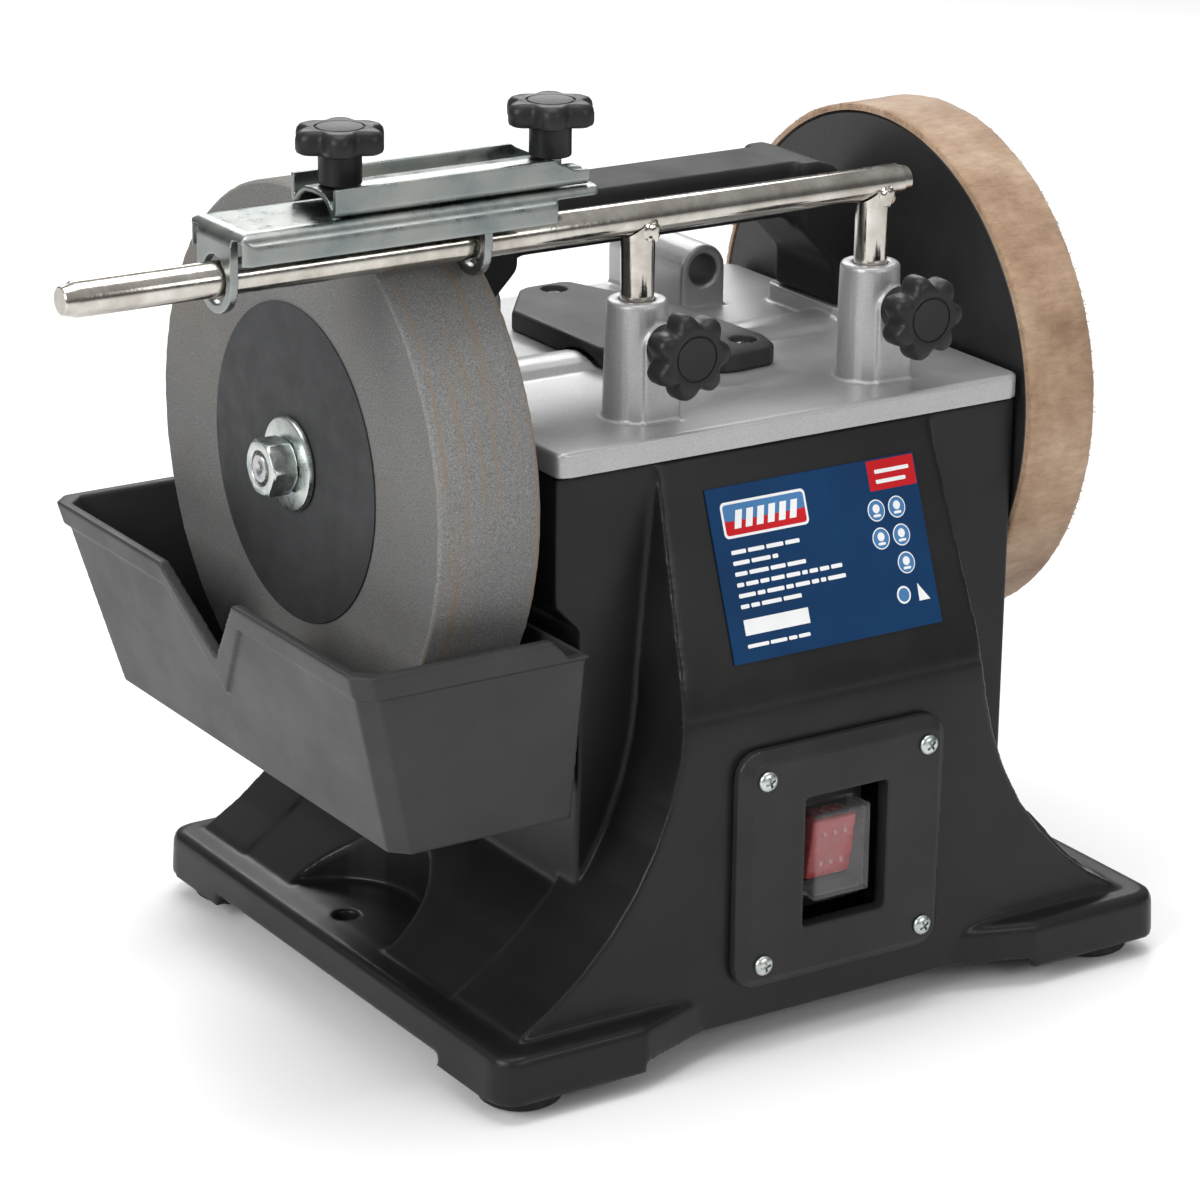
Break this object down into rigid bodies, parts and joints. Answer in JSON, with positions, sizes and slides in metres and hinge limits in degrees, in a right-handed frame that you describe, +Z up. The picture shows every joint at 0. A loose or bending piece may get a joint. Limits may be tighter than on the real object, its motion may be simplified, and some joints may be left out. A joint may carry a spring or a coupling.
{
  "type": "wet grinding sharpener",
  "caption": "Bench wet sharpener: slow water-cooled stone and leather honing wheel on one shaft, over a moulded stand with trough, tool support and blade jig.",
  "frame": {"origin": "on the surface the feet stand on, under the middle of the footprint of the whole object", "axes": "+X runs along the wheel shaft from the stone to the leather wheel, +Y to the back of the machine, +Z up"},
  "size_m": [0.418, 0.2532, 0.3414],
  "materials": {
    "stand_plastic": "glossy black moulded plastic with a fine mould texture",
    "trough_plastic": "satin dark grey moulded plastic",
    "plate_casting": "silver painted die-cast aluminium, fine grain",
    "cover_plastic": "satin black moulded plastic",
    "handle_plastic": "satin black moulded plastic",
    "knob_plastic": "satin black moulded plastic",
    "rail_chrome": "polished nickel plate with faint warm patches",
    "jig_zinc": "bright zinc-plated pressed steel, faintly mottled",
    "fastener_zinc": "bright zinc-plated steel",
    "machined_steel": "turned and ground steel",
    "stone": "matt grey bonded grit, faint brown streaks on its rim",
    "stone_label_paper": "matt charcoal paper disc",
    "leather": "tan suede with a frayed edge",
    "wheel_board": "satin black wheel core",
    "rocker_red": "glossy translucent red plastic",
    "switch_black": "satin black plastic",
    "boot_clear": "clear flexible cover",
    "label_print": "glossy printed film, plain shapes in place of words",
    "foot_rubber": "matt black rubber",
    "wheel_bronze": "cut bronze",
    "motor_iron": "stacked laminations",
    "winding_copper": "varnished copper wire",
    "bare_aluminium": "plain die-cast aluminium",
    "terminal_nylon": "natural nylon"
  },
  "bodies": {
    "stand": {"housing": "stand_plastic", "bottom_cover": "fastener_zinc", "foot_front_left": "foot_rubber", "foot_front_right": "foot_rubber", "foot_back_left": "foot_rubber", "foot_back_right": "foot_rubber", "top_plate": "plate_casting", "drive_cover": "cover_plastic", "cover_screw_back": "fastener_zinc", "cover_screw_front": "fastener_zinc", "carry_handle": "handle_plastic", "handle_bolt_left": "fastener_zinc", "handle_bolt_right": "fastener_zinc", "switch_plate": "switch_black", "switch_screw_bottom_left": "fastener_zinc", "switch_screw_bottom_right": "fastener_zinc", "switch_screw_top_left": "fastener_zinc", "switch_screw_top_right": "fastener_zinc", "switch_body": "switch_black", "switch_boot": "boot_clear", "rating_label": "label_print", "cord_gland": "switch_black", "capacitor": "bare_aluminium", "terminal_block": "terminal_nylon", "motor_bracket": "fastener_zinc", "stator_core": "motor_iron", "stator_windings": "winding_copper", "motor_end_upper": "bare_aluminium", "motor_end_lower": "bare_aluminium", "shaft_bearing_left": "machined_steel", "shaft_bearing_right": "machined_steel"},
    "wheel_shaft": {"main_shaft": "machined_steel", "worm_wheel": "wheel_bronze", "grindstone": "stone", "stone_label": "stone_label_paper", "stone_inner_flange": "fastener_zinc", "stone_washer": "fastener_zinc", "stone_nut": "fastener_zinc", "leather_wheel_disc": "wheel_board", "leather_strip": "leather", "leather_inner_flange": "fastener_zinc", "leather_washer": "fastener_zinc", "leather_nut": "fastener_zinc"},
    "motor_armature": {"motor_rotor": "motor_iron", "worm": "machined_steel"},
    "switch_rocker": {"rocker": "rocker_red"},
    "trough": {"water_trough": "trough_plastic"},
    "universal_support": {"support_rail": "rail_chrome", "support_leg_left": "rail_chrome", "support_leg_right": "rail_chrome"},
    "post_clamp_left": {"post_knob_left": "knob_plastic", "post_stud_left": "fastener_zinc"},
    "post_clamp_right": {"post_knob_right": "knob_plastic", "post_stud_right": "fastener_zinc"},
    "jig": {"jig_base": "jig_zinc", "jig_stud_left": "fastener_zinc", "jig_stud_right": "fastener_zinc"},
    "jig_clamp_strip": {"jig_clamp": "jig_zinc"},
    "jig_screw_left": {"jig_knob_left": "knob_plastic"},
    "jig_screw_right": {"jig_knob_right": "knob_plastic"}
  },
  "joints": [
    {"name": "wheel_spin", "type": "hinge", "parent": "stand", "child": "wheel_shaft", "pos_m": [0.032, 0.008, 0.205], "axis": [1, 0, 0], "continuous": true},
    {"name": "motor_spin", "type": "hinge", "parent": "stand", "child": "motor_armature", "pos_m": [0.062, 0.03, 0.165], "axis": [0, 0, 1], "continuous": true},
    {"name": "switch_rock", "type": "hinge", "parent": "stand", "child": "switch_rocker", "pos_m": [0.062, -0.1054, 0.07], "axis": [1, 0, 0], "range_deg": [-19, 0]},
    {"name": "trough_lower", "type": "slide", "parent": "stand", "child": "trough", "axis": [0, 0, 1], "range_m": [-0.03, 0]},
    {"name": "support_height", "type": "slide", "parent": "stand", "child": "universal_support", "axis": [0, 0, 1], "range_m": [0, 0.05]},
    {"name": "post_knob_turn_left", "type": "hinge", "parent": "stand", "child": "post_clamp_left", "pos_m": [0.014, -0.08, 0.2527], "axis": [0, 1, 0], "range_deg": [0, 360]},
    {"name": "post_knob_turn_right", "type": "hinge", "parent": "stand", "child": "post_clamp_right", "pos_m": [0.114, -0.08, 0.2527], "axis": [0, 1, 0], "range_deg": [0, 360]},
    {"name": "jig_traverse", "type": "slide", "parent": "universal_support", "child": "jig", "axis": [1, 0, 0], "range_m": [-0.045, 0.05]},
    {"name": "jig_clamp_lift", "type": "slide", "parent": "jig", "child": "jig_clamp_strip", "axis": [0, 0, 1], "range_m": [0, 0.004]},
    {"name": "jig_knob_turn_left", "type": "hinge", "parent": "jig_clamp_strip", "child": "jig_screw_left", "pos_m": [-0.1068, -0.06, 0.33], "axis": [0, 0, 1], "range_deg": [0, 360]},
    {"name": "jig_knob_turn_right", "type": "hinge", "parent": "jig_clamp_strip", "child": "jig_screw_right", "pos_m": [-0.0255, -0.06, 0.33], "axis": [0, 0, 1], "range_deg": [0, 360]}
  ],
  "couplings": [
    {"joint": "motor_spin", "follows": "wheel_spin", "ratio": -30}
  ]
}
